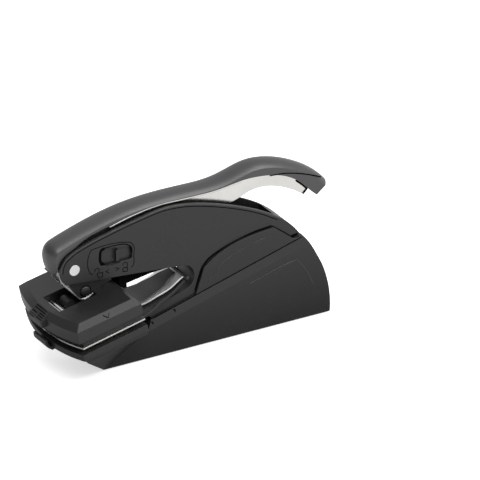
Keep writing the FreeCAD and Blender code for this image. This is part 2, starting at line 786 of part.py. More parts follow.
def make_foot_plates():
    """Dark plates riveted outside the front of the channel, a little smaller than its foot."""
    front = shifted_curve(mapped(channel_front_shares), -foot_plate_inset)
    toe = at(toe_x - foot_plate_inset * 2, -toe_drop + foot_plate_inset)
    sole = at(sole_x, -sole_drop + foot_plate_inset)
    heel = at(toe_x - foot_plate_inset * 2, -foot_plate_top)
    back = at(foot_plate_radius, -foot_plate_top)
    collar = at(foot_plate_radius * math.cos(math.radians(45)), foot_plate_radius * math.sin(math.radians(45)))
    crown = at(0, foot_plate_radius)
    brow = at(front[0].x - pin_x, foot_plate_radius * math.sin(math.radians(30)))
    side = face([spline(front), arc(back, collar, crown)] + lines([front[-1], sole, toe, heel, back])
                + lines([crown, brow, front[0]]))
    plate = slab(side, -channel_half - foot_plate_sheet, -channel_half)
    plate = plate.cut(rod(at(0, 0), pin_radius + running_fit, -cheek_half, 0))
    plate = plate.cut(rod(at(foot_rivet_x, -foot_rivet_drop), foot_rivet_radius + running_fit, -cheek_half, 0))
    return Part.makeCompound([plate, mirrored(plate)])


def make_lock_slider():
    """Flat slider behind the cheek wall with a finger ridge that stands out through the window."""
    y_back = -cheek_inner + lock_sheet
    low = -lock_low - lock_lap
    high = lock_top_left + lock_lap
    left = lock_left - lock_lap
    right = lock_right + lock_lap + lock_travel
    corners = [at(left, low), at(right, low), at(right, high), at(left, high)]
    plate = slab(poly_face(corners), -cheek_inner + lock_fit, y_back)
    ridge_low = -lock_low + lock_fit + lock_corner / 2
    ridge_high = lock_top_right - lock_fit
    ridge = [at(lock_ridge_x - lock_ridge_width / 2, ridge_low), at(lock_ridge_x + lock_ridge_width / 2, ridge_low),
             at(lock_ridge_x + lock_ridge_width / 2, ridge_high), at(lock_ridge_x - lock_ridge_width / 2, ridge_high)]
    return joined(plate, slab(poly_face(ridge), -cheek_half - lock_ridge_proud, -cheek_inner + lock_fit))


def make_lower_holder():
    """Lower die holder: bowed plate, die pocket, finger scoop in front and a tongue to the clip pin."""
    plate = lower.bowed(holder_half, 0.0, holder_length, front_bow, -lower_thickness, 0.0)
    pin_u, pin_w = lower.share_of(at(clip_pin_x, -clip_pin_drop))
    tongue_end = pin_u - clip_pin_radius - eye_wall - fit_gap * 2
    low_w = lower_tongue_lift - lower_tongue_sheet
    root = holder_length - die_front
    narrow = leaf_narrow_x - lower_front_x
    lug_outer = leaf_end_half + fit_gap + lug_width
    plan = [(root, -lower_tongue_half), (narrow, -lower_tongue_half), (tongue_end, -lug_outer),
            (tongue_end, lug_outer), (narrow, lower_tongue_half), (root, lower_tongue_half)]
    tongue = poly_face([lower.point(u, low_w, y) for u, y in plan]).extrude(lower.w * lower_tongue_sheet)
    lug_radius = clip_pin_radius + lug_wall
    lug_side = [(tongue_end - lug_radius * 2, low_w), (pin_u, low_w), (pin_u, pin_w),
                (tongue_end - lug_radius * 2, lower_tongue_lift)]
    lug = joined(lower.prism(lug_side, leaf_end_half + fit_gap, lug_outer),
                 rod(lower.point(pin_u, pin_w), lug_radius, leaf_end_half + fit_gap, lug_outer))
    outer = mapped(scoop_outer_shares)
    inner = shifted_curve(outer, -scoop_sheet)
    plate_low = lower.point(-front_bow + fit_gap, -lower_thickness)
    scoop = face([arc(*outer), arc(*inner)] + lines([outer[0], inner[0]]) + lines([outer[-1], inner[-1]]))
    scoop = slab(scoop, -tab_half, tab_half)
    foot_u = lower.share_of(outer[-1])[0]
    bridge = [(foot_u - scoop_sheet, -lower_thickness - scoop_sheet), (foot_u + scoop_sheet, -lower_thickness - scoop_sheet),
              (foot_u + scoop_sheet, -lower_thickness + running_fit), (foot_u - scoop_sheet, -lower_thickness + running_fit)]
    scoop = joined(scoop, lower.prism(bridge, -tab_half, tab_half))
    body = joined(plate, tongue, lug, mirrored(lug), scoop)
    pocket = lower.box(die_front - pocket_clearance, die_front + die_length + pocket_clearance,
                       die_half + pocket_clearance, lower_die_proud - lower_die_sheet, nose_radius)
    keep = lower.box(die_front + die_length + overrun, pin_u * 2, holder_half, -nose_radius, nose_radius)
    body = body.cut(pocket.cut(keep))
    return body.cut(rod(lower.point(pin_u, pin_w), clip_pin_radius + running_fit, -holder_half, holder_half))


def make_lower_die():
    return lower.box(die_front, die_front + die_length, die_half, lower_die_proud - lower_die_sheet,
                     lower_die_proud)


def make_clip_pin():
    half = leaf_end_half + fit_gap + lug_width
    return rod(at(clip_pin_x, -clip_pin_drop), clip_pin_radius, -half, half)


def make_clip_leaf():
    """Spring steel leaf: full width under the upper holder, tapering back to an eye on the clip pin."""
    pin_u, pin_w = lower.share_of(at(clip_pin_x, -clip_pin_drop))
    plate = lower.bowed(holder_half - carrier_inset, carrier_inset, holder_length, front_bow, leaf_lift,
                        leaf_lift + leaf_sheet)
    eye_radius = clip_pin_radius + running_fit + eye_wall
    narrow = leaf_narrow_x - lower_front_x
    plan = [(holder_length - overrun, -leaf_half), (narrow, -leaf_half), (pin_u - eye_radius, -leaf_end_half),
            (pin_u - eye_radius, leaf_end_half), (narrow, leaf_half), (holder_length - overrun, leaf_half)]
    strip = poly_face([lower.point(u, leaf_lift, y) for u, y in plan]).extrude(lower.w * leaf_sheet)
    tail = lower.box(pin_u - eye_radius - overrun, pin_u, leaf_end_half, leaf_lift, leaf_lift + leaf_sheet)
    eye = rod(lower.point(pin_u, pin_w), eye_radius, -leaf_end_half, leaf_end_half)
    leaf = joined(plate, strip, tail, eye)
    return leaf.cut(rod(lower.point(pin_u, pin_w), clip_pin_radius + running_fit, -holder_half, holder_half))


def make_upper_carrier():
    """Dark seat between the leaf and the upper holder, set back from the holder's sides."""
    return lower.bowed(holder_half - carrier_inset * 2, carrier_inset * 2, holder_length - carrier_inset,
                       front_bow, leaf_lift + leaf_sheet, carrier_lift)


def make_upper_die():
    """Die under the leaf, cut to meet the lower die square when the jaw has closed."""
    pin = at(clip_pin_x, -clip_pin_drop)
    closed = [lower.point(die_front, lower_die_proud + die_closed_gap),
              lower.point(die_front + die_length, lower_die_proud + die_closed_gap)]
    turn = math.radians(jaw_close)
    opened = []
    for point in closed:
        offset = point - pin
        opened.append(V(pin.x + offset.x * math.cos(turn) + offset.z * math.sin(turn), 0,
                        pin.z - offset.x * math.sin(turn) + offset.z * math.cos(turn)))
    front_u = lower.share_of(opened[0])[0]
    rear_u = lower.share_of(opened[1])[0]
    corners = [opened[0], opened[1], lower.point(rear_u, leaf_lift), lower.point(front_u, leaf_lift)]
    return slab(poly_face(corners), -die_half, die_half)


def make_upper_holder():
    """Upper die holder: chamfered plate with a window, a ribbed tab in front and a tongue behind."""
    body = upper.bowed(holder_half, 0.0, holder_length, front_bow, -upper_skirt, 0.0)
    low_wire = upper.bowed_wire(holder_half, 0.0, holder_length, front_bow, 0.0)
    high_wire = upper.bowed_wire(holder_half - upper_chamfer_inset, upper_chamfer_inset,
                                 holder_length - upper_chamfer_inset, front_bow, upper_chamfer_rise)
    crown = Part.makeLoft([low_wire, high_wire], True, True)
    below = lower.box(-holder_length, holder_length * 2, holder_half * 2, -holder_length, carrier_lift)
    body = joined(body, crown).cut(below)
    root_x = upper.point(holder_length, 0).x - pin_x - overrun * 2
    low = -tongue_top_drop - tongue_sheet
    ring_radius = tongue_end_half
    plan = [(root_x, -tongue_root_half), (tongue_mid_x, -tongue_mid_half), (tongue_end_x, -tongue_end_half)]
    near = [at(x, low, y) for x, y in plan]
    far = [at(x, low, -y) for x, y in plan]
    tip = at(tongue_end_x + tongue_sheet / 2, low)
    tongue = face(lines(near) + [arc(near[-1], tip, far[-1])] + lines(far[::-1]) + lines([far[0], near[0]]))
    tongue = tongue.extrude(V(0, 0, tongue_sheet))
    tab_corners = [(-front_bow + overrun, 0), (-front_bow - tab_reach, -tab_rib_pitch),
                   (-front_bow - tab_reach - tab_rib_height, -tab_thickness + overrun),
                   (-front_bow + overrun, -tab_thickness)]
    tab = upper.prism(tab_corners, -tab_half, tab_half)
    ribs = []
    for i in range(4):
        u = -front_bow - tab_reach + tab_rib_pitch * (i + 0.4)
        drop = -tab_rib_pitch + tab_rib_pitch * (u + front_bow + tab_reach) / (tab_reach + overrun)
        ribs.append(upper.box(u, u + tab_rib_width, tab_half, drop - tab_rib_height, drop + tab_rib_height))
    body = joined(body, tongue, tab, *ribs)
    window = upper.box(window_front, window_front + window_length, window_half,
                       upper_chamfer_rise - window_depth, upper_chamfer_rise + overrun)
    body = body.cut(window)
    spacer = []
    for y in (-leaf_rivet_spread, leaf_rivet_spread):
        place = leaf_rivet_place(y)
        post = Part.makeCylinder(leaf_rivet_radius * 2, tongue_sheet + leaf_lift, V(place.x, y, place.z))
        above = Part.makeBox(holder_length, holder_half * 2, holder_length,
                             V(place.x - holder_length / 2, -holder_half, at(0, low + tongue_sheet).z))
        spacer.append(post.cut(above))
    body = joined(body, *spacer)
    for y in (-leaf_rivet_spread, leaf_rivet_spread):
        place = leaf_rivet_place(y)
        body = body.cut(Part.makeCylinder(leaf_rivet_radius, holder_length,
                                          V(place.x, y, place.z - holder_length / 2)))
    slope_cut = lower.box(0, pin_reach(), holder_half, -holder_length, leaf_lift + leaf_sheet)
    return body.cut(slope_cut)


def pin_reach():
    return lower.share_of(at(clip_pin_x, -clip_pin_drop))[0] * 2


def leaf_rivet_place(y):
    """Point on the leaf's upper face under the end of the tongue."""
    u = lower.share_of(at(tongue_end_x - leaf_rivet_spread, -clip_pin_drop))[0]
    return lower.point(u, leaf_lift + leaf_sheet, y)


def make_leaf_rivets():
    rivets = []
    top = at(0, -tongue_top_drop).z
    for y in (-leaf_rivet_spread, leaf_rivet_spread):
        place = leaf_rivet_place(y)
        shank = Part.makeCylinder(leaf_rivet_radius, top - place.z, V(place.x, y, place.z))
        head = Part.makeCylinder(leaf_rivet_radius * 1.6, leaf_rivet_head, V(place.x, y, top))
        rivets.append(joined(shank, head))
    above = lower.box(0, pin_reach(), holder_half, leaf_lift + leaf_sheet, holder_length)
    return Part.makeCompound(rivets).common(above)


def make_catch_block():
    """Rounded black catch in the window of the upper holder."""
    floor_w = upper_chamfer_rise - window_depth
    rear = window_front + window_length - fit_gap
    front = rear - catch_block_length
    block = upper.box(front, rear, catch_block_half, floor_w, floor_w + catch_block_height / 2)
    top = rod(upper.point((front + rear) / 2, floor_w + catch_block_height / 2), catch_block_length / 2,
              -catch_block_half, catch_block_half)
    trim = upper.box(front, rear, catch_block_half, floor_w, floor_w + window_depth)
    return joined(block, top.common(trim))


def make_catch_strip():
    """Bent steel strip along the front of the window."""
    floor_w = upper_chamfer_rise - window_depth
    front = window_front + wall_clearance
    reach = window_length / 2 - fit_gap * 2
    height = window_depth * 0.62
    corners = [(front, floor_w), (front + reach, floor_w), (front + reach, floor_w + catch_strip_sheet),
               (front + catch_strip_sheet, floor_w + catch_strip_sheet),
               (front + catch_strip_sheet, floor_w + height), (front, floor_w + height)]
    return upper.prism(corners, -window_half + fit_gap, window_half - fit_gap)


def make_catch_pin():
    """Small cross pin lying on the strip in front of the catch."""
    floor_w = upper_chamfer_rise - window_depth
    place = upper.point(window_front + window_length / 2 - catch_pin_radius * 3,
                        floor_w + catch_strip_sheet + catch_pin_radius)
    return rod(place, catch_pin_radius, -window_half + fit_gap, window_half - fit_gap)


os.makedirs("parts", exist_ok=True)
cheek_blank = make_cheek()
near_panel = make_panel()
save("base_shell", make_base_shell())
save("bottom_plate", make_bottom_plate())
save("base_pad", make_base_pad())
save("base_screws", make_base_screws())
save("near_cheek", make_near_cheek(cheek_blank))
save("far_cheek", make_far_cheek(cheek_blank))
save("cheek_screws", make_cheek_screws())
save("near_side_panel", near_panel)
save("far_side_panel", mirrored(near_panel))
save("press_frame", make_press_frame())
save("frame_dowels", make_dowels())
save("press_stop", make_press_stop())
save("pivot_pin", make_pivot_pin())
channel = make_lever_channel()
save("lever_channel", channel)
save("lever_cover", make_lever_cover())
save("cover_rivets", make_cover_rivets(channel))
save("foot_rivet", make_foot_rivet())
save("foot_plates", make_foot_plates())
save("lever_spring", make_lever_spring())
save("lock_slider", make_lock_slider())
save("lower_holder", make_lower_holder())
save("lower_die", make_lower_die())
save("clip_pin", make_clip_pin())
save("clip_leaf", make_clip_leaf())
save("upper_carrier", make_upper_carrier())
save("upper_die", make_upper_die())
save("upper_holder", make_upper_holder())
save("leaf_rivets", make_leaf_rivets())
save("catch_block", make_catch_block())
save("catch_strip", make_catch_strip())
save("catch_pin", make_catch_pin())
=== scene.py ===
import bpy
import bmesh
import itertools
import json
import math
import numpy as np
from mathutils import Matrix, Vector


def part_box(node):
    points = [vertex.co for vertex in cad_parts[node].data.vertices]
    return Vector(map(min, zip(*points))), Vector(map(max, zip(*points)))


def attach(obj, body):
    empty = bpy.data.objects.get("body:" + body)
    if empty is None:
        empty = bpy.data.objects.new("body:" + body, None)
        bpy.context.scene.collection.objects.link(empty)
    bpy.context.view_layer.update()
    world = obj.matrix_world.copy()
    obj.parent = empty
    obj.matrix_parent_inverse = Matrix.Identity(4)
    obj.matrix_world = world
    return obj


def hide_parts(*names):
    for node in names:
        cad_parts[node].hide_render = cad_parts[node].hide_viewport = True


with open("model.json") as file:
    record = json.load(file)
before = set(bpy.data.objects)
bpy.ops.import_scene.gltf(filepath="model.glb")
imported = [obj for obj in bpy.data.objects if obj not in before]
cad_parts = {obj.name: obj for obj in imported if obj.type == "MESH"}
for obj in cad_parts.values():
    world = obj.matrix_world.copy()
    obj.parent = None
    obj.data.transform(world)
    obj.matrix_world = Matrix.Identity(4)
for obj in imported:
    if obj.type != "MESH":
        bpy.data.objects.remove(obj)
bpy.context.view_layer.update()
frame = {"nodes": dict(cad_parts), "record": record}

mm = 0.001
print("frame loaded,", len(frame["nodes"]), "nodes")

# The pivot of the lever is the point that the whole press is measured from
pivotLow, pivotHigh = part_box("pivot_pin")
pivot = (pivotLow + pivotHigh) / 2


# Camera at the photograph's angle, far off, so that it sees almost no perspective

shot = dict(azimuth=-29.988, elevation=26.349, distance=4.0, lens=611.4, sensor=36.0,
            right=0.08532, up=0.01168)


def makeCamera(s):
    a = math.radians(s["azimuth"])
    e = math.radians(s["elevation"])
    back = Vector((math.sin(a) * math.cos(e), -math.cos(a) * math.cos(e), math.sin(e)))
    right = Vector((math.cos(a), math.sin(a), 0))
    up = back.cross(right)
    turn = Matrix((right, up, back)).transposed()
    data = bpy.data.cameras.new("photoCamera")
    data.lens = s["lens"]
    data.sensor_width = s["sensor"]
    data.clip_start = 0.1
    data.clip_end = 30
    camera = bpy.data.objects.new("photoCamera", data)
    place = pivot + right * s["right"] + up * s["up"] + back * s["distance"]
    camera.matrix_world = Matrix.Translation(place) @ turn.to_4x4()
    bpy.context.scene.collection.objects.link(camera)
    bpy.context.scene.camera = camera


makeCamera(shot)


# Shader groups that several finishes share

def newGroup(name, inputs, outputs):
    group = bpy.data.node_groups.new(name, "ShaderNodeTree")
    for socketName, kind, value in inputs:
        socket = group.interface.new_socket(name=socketName, in_out="INPUT", socket_type=kind)
        socket.default_value = value
    for socketName, kind in outputs:
        group.interface.new_socket(name=socketName, in_out="OUTPUT", socket_type=kind)
    return group, group.nodes.new("NodeGroupInput"), group.nodes.new("NodeGroupOutput")


def addNode(tree, kind, **values):
    node = tree.nodes.new(kind)
    for key, value in values.items():
        setattr(node, key, value)
    return node


def mathNode(tree, operation, a, b=None, clamp=False):
    node = addNode(tree, "ShaderNodeMath", operation=operation, use_clamp=clamp)
    for socket, value in zip(node.inputs, (a, b)):
        if value is None:
            continue
        if isinstance(value, (int, float)):
            socket.default_value = value
        else:
            tree.links.new(value, socket)
    return node.outputs[0]


def makeMouldedSkin():
    # Fine spark-eroded grain of a satin moulding, with slow patches of polish and faint dust
    group, given, made = newGroup(
        "mouldedSkin",
        [("Color", "NodeSocketColor", (0.02, 0.02, 0.02, 1)), ("Roughness", "NodeSocketFloat", 0.4),
         ("Grain", "NodeSocketFloat", 0.5), ("Dust", "NodeSocketFloat", 0.2)],
        [("Color", "NodeSocketColor"), ("Roughness", "NodeSocketFloat"), ("Height", "NodeSocketFloat")])
    link = group.links.new
    place = addNode(group, "ShaderNodeTexCoord")
    fine = addNode(group, "ShaderNodeTexNoise", noise_dimensions="3D")
    fine.inputs["Scale"].default_value = 2600
    fine.inputs["Detail"].default_value = 2
    patch = addNode(group, "ShaderNodeTexNoise")
    patch.inputs["Scale"].default_value = 55
    patch.inputs["Detail"].default_value = 4
    specks = addNode(group, "ShaderNodeTexVoronoi", feature="F1")
    specks.inputs["Scale"].default_value = 620
    for node in (fine, patch, specks):
        link(place.outputs["Object"], node.inputs["Vector"])
    link(mathNode(group, "MULTIPLY", fine.outputs["Fac"], given.outputs["Grain"]), made.inputs["Height"])
    swing = mathNode(group, "SUBTRACT", patch.outputs["Fac"], 0.5)
    rough = mathNode(group, "MULTIPLY", swing, 0.16)
    link(mathNode(group, "ADD", rough, given.outputs["Roughness"]), made.inputs["Roughness"])
    near = mathNode(group, "LESS_THAN", specks.outputs["Distance"], 0.16)
    rare = mathNode(group, "GREATER_THAN", patch.outputs["Fac"], 0.56)
    amount = mathNode(group, "MULTIPLY", mathNode(group, "MULTIPLY", near, rare), given.outputs["Dust"])
    mix = addNode(group, "ShaderNodeMix", data_type="RGBA")
    link(amount, mix.inputs["Factor"])
    link(given.outputs["Color"], mix.inputs[6])
    mix.inputs[7].default_value = (0.16, 0.155, 0.15, 1)
    link(mix.outputs[2], made.inputs["Color"])
    return group


def makeWornEdge():
    # Mask of worn edges: where the rounded normal leaves the true one, broken up by noise
    group, given, made = newGroup(
        "wornEdge",
        [("Width", "NodeSocketFloat", 0.0004), ("Amount", "NodeSocketFloat", 0.5)],
        [("Mask", "NodeSocketFloat"), ("Normal", "NodeSocketVector")])
    link = group.links.new
    place = addNode(group, "ShaderNodeTexCoord")
    soft = addNode(group, "ShaderNodeBevel", samples=6)
    link(given.outputs["Width"], soft.inputs["Radius"])
    flat = addNode(group, "ShaderNodeNewGeometry")
    dot = addNode(group, "ShaderNodeVectorMath", operation="DOT_PRODUCT")
    link(soft.outputs["Normal"], dot.inputs[0])
    link(flat.outputs["Normal"], dot.inputs[1])
    turned = mathNode(group, "SUBTRACT", 1.0, dot.outputs["Value"])
    strong = mathNode(group, "MULTIPLY", turned, 6.0, clamp=True)
    patch = addNode(group, "ShaderNodeTexNoise")
    patch.inputs["Scale"].default_value = 240
    patch.inputs["Detail"].default_value = 3
    link(place.outputs["Object"], patch.inputs["Vector"])
    broken = mathNode(group, "MULTIPLY", strong, patch.outputs["Fac"])
    link(mathNode(group, "MULTIPLY", broken, given.outputs["Amount"], clamp=True), made.inputs["Mask"])
    link(soft.outputs["Normal"], made.inputs["Normal"])
    return group


def makeBrushedSteel():
    # Long fine scratches along X over slow stains
    group, given, made = newGroup(
        "brushedSteel",
        [("Color", "NodeSocketColor", (0.6, 0.6, 0.6, 1)), ("Roughness", "NodeSocketFloat", 0.3),
         ("Brush", "NodeSocketFloat", 0.5), ("Stretch", "NodeSocketVector", (60, 2600, 2600))],
        [("Color", "NodeSocketColor"), ("Roughness", "NodeSocketFloat"), ("Height", "NodeSocketFloat")])
    link = group.links.new
    place = addNode(group, "ShaderNodeTexCoord")
    scale = addNode(group, "ShaderNodeVectorMath", operation="MULTIPLY")
    link(place.outputs["Object"], scale.inputs[0])
    link(given.outputs["Stretch"], scale.inputs[1])
    lines = addNode(group, "ShaderNodeTexNoise")
    lines.inputs["Scale"].default_value = 1
    lines.inputs["Detail"].default_value = 3
    link(scale.outputs[0], lines.inputs["Vector"])
    stain = addNode(group, "ShaderNodeTexNoise")
    stain.inputs["Scale"].default_value = 90
    stain.inputs["Detail"].default_value = 5
    link(place.outputs["Object"], stain.inputs["Vector"])
    link(mathNode(group, "MULTIPLY", lines.outputs["Fac"], given.outputs["Brush"]), made.inputs["Height"])
    swing = mathNode(group, "SUBTRACT", stain.outputs["Fac"], 0.5)
    wide = mathNode(group, "MULTIPLY", swing, 0.2)
    link(mathNode(group, "ADD", wide, given.outputs["Roughness"]), made.inputs["Roughness"])
    tone = addNode(group, "ShaderNodeMix", data_type="RGBA", blend_type="MULTIPLY")
    link(mathNode(group, "MULTIPLY", stain.outputs["Fac"], 0.35), tone.inputs["Factor"])
    link(given.outputs["Color"], tone.inputs[6])
    tone.inputs[7].default_value = (0.62, 0.6, 0.56, 1)
    link(tone.outputs[2], made.inputs["Color"])
    return group


mouldedSkin = makeMouldedSkin()
wornEdge = makeWornEdge()
brushedSteel = makeBrushedSteel()


def placeGroup(tree, group, **values):
    node = addNode(tree, "ShaderNodeGroup", node_tree=group)
    for key, value in values.items():
        node.inputs[key].default_value = value
    return node


def blackPlastic(name, s):
    material = bpy.data.materials.new(name)
    material.use_nodes = True
    tree = material.node_tree
    link = tree.links.new
    skin = tree.nodes["Principled BSDF"]
    grain = placeGroup(tree, mouldedSkin, Color=s["color"] + (1,), Roughness=s["roughness"], Grain=s["grain"],
                       Dust=s["dust"])
    edge = placeGroup(tree, wornEdge, Width=s["edge"], Amount=s["wear"])
    shine = addNode(tree, "ShaderNodeMix", data_type="RGBA")
    link(edge.outputs["Mask"], shine.inputs["Factor"])
    link(grain.outputs["Color"], shine.inputs[6])
    shine.inputs[7].default_value = s["wornColor"] + (1,)
    link(shine.outputs[2], skin.inputs["Base Color"])
    link(grain.outputs["Roughness"], skin.inputs["Roughness"])
    bump = addNode(tree, "ShaderNodeBump")
    bump.inputs["Strength"].default_value = s["bump"]
    bump.inputs["Distance"].default_value = 0.00004
    link(grain.outputs["Height"], bump.inputs["Height"])
    link(edge.outputs["Normal"], bump.inputs["Normal"])
    link(bump.outputs["Normal"], skin.inputs["Normal"])
    skin.inputs["Specular IOR Level"].default_value = s["specular"]
    skin.inputs["Sheen Weight"].default_value = s["sheen"]
    skin.inputs["Sheen Roughness"].default_value = 0.6
    return material


def metal(name, s):
    material = bpy.data.materials.new(name)
    material.use_nodes = True
    tree = material.node_tree
    link = tree.links.new
    skin = tree.nodes["Principled BSDF"]
    skin.inputs["Metallic"].default_value = 1
    brush = placeGroup(tree, brushedSteel, Color=s["color"] + (1,), Roughness=s["roughness"], Brush=s["brush"],
                       Stretch=s["stretch"])
    edge = placeGroup(tree, wornEdge, Width=s["edge"], Amount=0)
    link(brush.outputs["Color"], skin.inputs["Base Color"])
    link(brush.outputs["Roughness"], skin.inputs["Roughness"])
    bump = addNode(tree, "ShaderNodeBump")
    bump.inputs["Strength"].default_value = s["bump"]
    bump.inputs["Distance"].default_value = 0.00003
    link(brush.outputs["Height"], bump.inputs["Height"])
    link(edge.outputs["Normal"], bump.inputs["Normal"])
    link(bump.outputs["Normal"], skin.inputs["Normal"])
    return material


plain = dict(color=(0.013, 0.013, 0.014), wornColor=(0.06, 0.06, 0.06), roughness=0.42, grain=0.8, dust=0.12,
             edge=0.0004, wear=0.6, bump=0.35, specular=0.5, sheen=0.0)
shell = blackPlastic("shellPlastic", plain)
housing = blackPlastic("housingPlastic", plain)
panel = blackPlastic("panelPlastic", dict(plain, roughness=0.45))
handle = blackPlastic("handlePlastic", dict(plain, color=(0.045, 0.045, 0.047), roughness=0.36, specular=0.6))
holder = blackPlastic("holderPlastic", dict(plain, roughness=0.4))
seat = blackPlastic("seatPlastic", dict(plain, color=(0.01, 0.01, 0.01), roughness=0.55))
rubber = blackPlastic("padRubber", dict(plain, color=(0.012, 0.012, 0.012), roughness=0.8, specular=0.3))
steelSettings = dict(color=(0.62, 0.62, 0.61), roughness=0.28, brush=0.5, stretch=(60, 2600, 2600), edge=0.00025,
                     bump=0.3)
nickel = metal("nickelPlate", dict(steelSettings, color=(0.8, 0.79, 0.77), roughness=0.22))
zinc = metal("zincPlate", dict(steelSettings, color=(0.5, 0.5, 0.5), roughness=0.38))
bright = metal("brightSteel", dict(steelSettings, color=(0.8, 0.8, 0.8), roughness=0.2))
strip = metal("springStrip", dict(steelSettings, color=(0.7, 0.7, 0.7), roughness=0.25))
screwSteel = metal("screwSteel", dict(steelSettings, color=(0.4, 0.4, 0.4), roughness=0.4))
darkSteel = blackPlastic("darkSteel", dict(plain, color=(0.016, 0.016, 0.017), roughness=0.34, grain=0.4,
                                           dust=0.05))
brass = metal("dieBrass", dict(steelSettings, color=(0.75, 0.58, 0.28), roughness=0.3))
resin = blackPlastic("dieResin", dict(plain, color=(0.6, 0.57, 0.5), wornColor=(0.7, 0.67, 0.6), roughness=0.5))
shadow = blackPlastic("seamShadow", dict(plain, color=(0.002, 0.002, 0.002), wornColor=(0.002, 0.002, 0.002),
                                         roughness=0.9, specular=0.05, dust=0.0))
# The rim finish: its lighter colour is a painted highlight for rounded edges and creases; its lower roughness is
# real gloss
rim = blackPlastic("paintedHighlightRim", dict(plain, color=(0.045, 0.045, 0.046), roughness=0.3, specular=0.7))
neckSteel = metal("neckSteel", dict(steelSettings, color=(0.95, 0.95, 0.94), roughness=0.5, bump=0.15))
print("finishes made")


# Finish of each CAD node that stays

finishOf = dict(
    base_shell=shell, bottom_plate=zinc, base_pad=rubber, base_screws=screwSteel, near_cheek=housing,
    far_cheek=housing, cheek_screws=screwSteel, near_side_panel=panel, far_side_panel=panel, press_frame=zinc,
    frame_dowels=zinc, press_stop=rubber, pivot_pin=bright, lever_channel=nickel, lever_cover=handle,
    cover_rivets=zinc, foot_rivet=darkSteel, foot_plates=darkSteel, lever_spring=strip, lock_slider=housing,
    lower_holder=holder, lower_die=brass, clip_pin=darkSteel, clip_leaf=strip, upper_carrier=seat,
    upper_die=resin, upper_holder=holder,
    leaf_rivets=bright, catch_block=seat, catch_strip=strip, catch_pin=bright)


def dress(node, material):
    mesh = frame["nodes"][node].data
    mesh.materials.clear()
    mesh.materials.append(material)


for node, material in finishOf.items():
    dress(node, material)


def bodyOf(node):
    return next(body for body, nodes in frame["record"]["behaviour"]["bodies"].items() if node in nodes)


# Everything below is drawn in millimetres from the pivot: back (x), far (y) and up (z)

def atPivot(points):
    return np.asarray(points, float) * mm + np.array(pivot)


def tilted(x, z, angle):
    # Places along (u), across (y) and square (w) to a slope, turned into places from the pivot
    c, s = math.cos(math.radians(angle)), math.sin(math.radians(angle))
    axes = np.array(((c, 0, s), (0, 1, 0), (-s, 0, c)))
    return lambda points: np.array((x, 0, z)) + np.asarray(points, float) @ axes


upperSlope = tilted(-10.6, -22.5, 11.6)
lowerSlope = tilted(-7.1, -35.7, 12.7)


def level(points):
    return np.asarray(points, float)


def makePiece(name, points, faces, material, body, bevel=0.0, sharp=35):
    mesh = bpy.data.meshes.new(name)
    mesh.from_pydata(atPivot(points).reshape(-1, 3).tolist(), [], faces)
    mesh.shade_smooth()
    mesh.set_sharp_from_angle(angle=math.radians(sharp))
    mesh.materials.append(material)
    piece = bpy.data.objects.new(name, mesh)
    bpy.context.scene.collection.objects.link(piece)
    if bevel:
        roundEdges(piece, bevel)
    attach(piece, body)
    return piece


def roundEdges(piece, width, angle=32):
    bevel = piece.modifiers.new("edge", "BEVEL")
    bevel.width = width * mm
    bevel.segments = 2
    bevel.limit_method = "ANGLE"
    bevel.angle_limit = math.radians(angle)
    bevel.harden_normals = True
    bevel.use_clamp_overlap = True


def lengths(vectors):
    return np.linalg.norm(vectors, axis=1)


def reachAlong(points):
    return np.r_[0, np.cumsum(lengths(np.diff(points, axis=0)))]


def directions(path):
    run = np.gradient(path, axis=0)
    return run / lengths(run)[:, None]


def softPath(points, count=40):
    # Cubic through the points by chord length: each span leaves and arrives along its neighbours' chords
    points = np.asarray(points, float)
    reach = reachAlong(points)
    slope = np.gradient(points, reach, axis=0)
    at = np.linspace(0, reach[-1], count)
    span = np.clip(np.searchsorted(reach, at, side="right") - 1, 0, len(reach) - 2)
    step = (reach[span + 1] - reach[span])[:, None]
    s = (at - reach[span])[:, None] / step
    return ((2 * s**3 - 3 * s**2 + 1) * points[span] + (s**3 - 2 * s**2 + s) * step * slope[span]
            + (3 * s**2 - 2 * s**3) * points[span + 1] + (s**3 - s**2) * step * slope[span + 1])


def straightPath(points, count=40):
    # Evenly spaced points along straight runs
    points = np.asarray(points, float)
    reach = reachAlong(points)
    at = np.linspace(0, reach[-1], count)
    return np.stack([np.interp(at, reach, points[:, k]) for k in range(points.shape[1])], axis=1)


def shiftedPath(path, distance):
    # A side outline (x, z) moved square to its run, to the right of its direction
    run = directions(path)
    return path + distance * np.stack([run[:, 1], -run[:, 0]], axis=1)


def band(path, distance):
    # Closed side outline between a path and the same path moved square to its run
    return np.concatenate([path, shiftedPath(path, distance)[::-1]])


def onSide(path, y):
    path = np.asarray(path, float)
    return np.stack([path[:, 0], np.full(len(path), y), path[:, 1]], axis=1)


def gridFaces(rows, columns):
    # Quads between each closed ring of a grid and the next, with a cap at both ends
    i = np.arange(rows - 1)[:, None]
    j = np.arange(columns)[None, :]
    k = (j + 1) % columns
    quads = np.stack([i * columns + j, i * columns + k, (i + 1) * columns + k, (i + 1) * columns + j], -1)
    last = (rows - 1) * columns
    return quads.reshape(-1, 4).tolist() + [list(range(columns))[::-1], list(range(last, last + columns))]


beadSides = 8
beadEnd = 0.05   # share of the width that is left at a bead's ends, before the root


